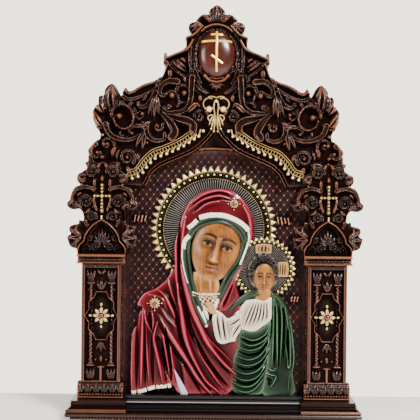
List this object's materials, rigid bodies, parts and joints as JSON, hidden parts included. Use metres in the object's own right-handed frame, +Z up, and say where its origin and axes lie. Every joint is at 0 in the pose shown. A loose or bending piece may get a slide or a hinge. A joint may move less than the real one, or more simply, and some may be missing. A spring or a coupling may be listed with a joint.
{
  "type": "icon panel",
  "caption": "Standing carved wooden icon panel: a mother and child in relief in an arched frame with pilasters, capitals, a scrollwork crest with an oval boss, and a moulded plinth.",
  "frame": {"origin": "centre of the plinth's underside, midway between the flat back and the plinth's front edge", "axes": "+X to the viewer's right, -Y out of the carved front, +Z up"},
  "size_m": [0.501, 0.082, 0.6999],
  "materials": {
    "dark_wood": "dark stain, edges rubbed back to copper brown, satin",
    "black_wood": "gloss black lacquer",
    "painted_wood": "carved wood stained crimson, green and white, satin varnish",
    "polished_wood": "polished red brown",
    "gilt_metal": "pale gilt",
    "red_stone": "polished red stone"
  },
  "bodies": {
    "root": {"plinth": "dark_wood", "sill": "black_wood", "pilaster_left": "dark_wood", "pilaster_right": "dark_wood", "capital_left": "dark_wood", "capital_right": "dark_wood", "crest": "dark_wood", "medallion": "polished_wood", "crest_cross": "gilt_metal", "icon_panel": "painted_wood", "gem_pilaster_left": "red_stone", "gem_pilaster_right": "red_stone", "gem_veil": "red_stone", "gem_shoulder": "red_stone"}
  },
  "joints": []
}
